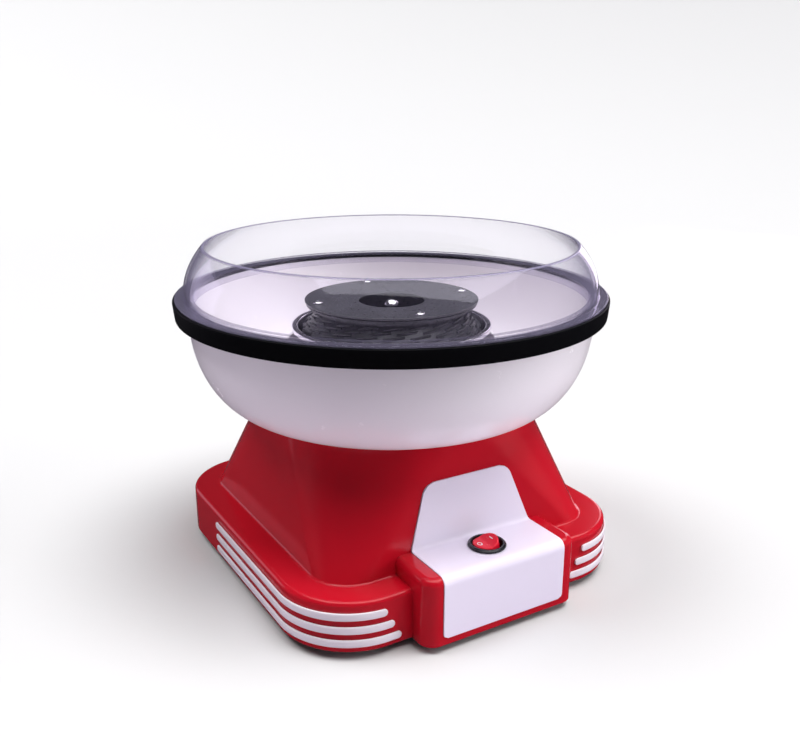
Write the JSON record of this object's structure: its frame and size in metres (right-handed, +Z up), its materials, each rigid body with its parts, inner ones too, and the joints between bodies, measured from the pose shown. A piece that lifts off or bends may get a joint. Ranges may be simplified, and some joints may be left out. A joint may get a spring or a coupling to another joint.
{
  "type": "cotton candy machine",
  "caption": "Table-top floss sugar spinner: slotted rotating head in a heated well, lift-off bowl with clear shield, motor base with rocker switch.",
  "frame": {"origin": "on the table under the spinner's axis, at the bottom of the feet", "axes": "+Z up along the spinner's axis, switch box towards -Y, +X to the right as the user faces the switch"},
  "size_m": [0.28, 0.28, 0.215],
  "materials": {
    "red_shell": "glossy moulded",
    "red_rocker": "satin moulded",
    "white_bowl": "glossy moulded",
    "white_trim": "satin moulded",
    "panel": "fine satin",
    "black_rim": "satin moulded",
    "switch_black": "satin moulded",
    "clear_shield": "clear polished polycarbonate",
    "grey_plastic": "fine texture",
    "rubber": "matt",
    "ceramic": "unglazed",
    "bright_metal": "polished",
    "coated_metal": "satin non-stick coating",
    "brass": "plain",
    "magnet": "sintered",
    "steel": "plain rolled"
  },
  "bodies": {
    "base": {"base_shell": "red_shell", "bottom_cover": "grey_plastic", "front_panel": "panel", "cord_gland": "rubber", "terminal_block": "ceramic", "thermal_fuse": "ceramic", "wiring_harness": "rubber", "foot_1": "rubber", "foot_2": "rubber", "foot_3": "rubber", "foot_4": "rubber", "cover_screw_1": "steel", "cover_screw_2": "steel", "cover_screw_3": "steel", "cover_screw_4": "steel", "stripe_left_lower": "white_trim", "stripe_right_lower": "white_trim", "stripe_left_middle": "white_trim", "stripe_right_middle": "white_trim", "stripe_left_upper": "white_trim", "stripe_right_upper": "white_trim", "switch_housing": "switch_black", "switch_terminal_1": "brass", "switch_terminal_2": "brass", "motor_can": "steel", "motor_end_cap": "grey_plastic", "motor_bracket": "steel", "upper_bearing": "brass", "lower_bearing": "brass", "magnet_1": "magnet", "magnet_2": "magnet", "motor_damper_1": "rubber", "motor_damper_2": "rubber", "motor_damper_3": "rubber", "heater_carrier": "grey_plastic", "heater_well": "bright_metal", "heater_element": "steel", "heater_post_1": "ceramic", "heater_post_2": "ceramic", "heater_post_3": "ceramic"},
    "rotor": {"motor_shaft": "steel", "armature": "steel", "cooling_fan": "grey_plastic", "drive_pin": "steel"},
    "head": {"head_top_plate": "coated_metal", "head_drum": "coated_metal", "head_floor": "coated_metal", "head_screw_1": "bright_metal", "head_screw_2": "bright_metal", "head_screw_3": "bright_metal", "head_screw_4": "bright_metal", "hub_cap": "bright_metal"},
    "bowl": {"bowl": "white_bowl", "bowl_rim": "black_rim"},
    "shield": {"splash_shield": "clear_shield"},
    "rocker": {"rocker": "red_rocker"}
  },
  "joints": [
    {"name": "rotor_spin", "type": "hinge", "parent": "base", "child": "rotor", "pos_m": [0, 0, 0.1], "axis": [0, 0, 1], "continuous": true},
    {"name": "head_lift", "type": "slide", "parent": "rotor", "child": "head", "axis": [0, 0, 1], "range_m": [0, 0.085]},
    {"name": "bowl_lift", "type": "slide", "parent": "base", "child": "bowl", "axis": [0, 0, 1], "range_m": [0, 0.08]},
    {"name": "shield_lift", "type": "slide", "parent": "bowl", "child": "shield", "axis": [0, 0, 1], "range_m": [0, 0.05]},
    {"name": "rocker_tilt", "type": "hinge", "parent": "base", "child": "rocker", "pos_m": [0, -0.1126, 0.046], "axis": [0, 1, 0], "range_deg": [0, 27]}
  ]
}
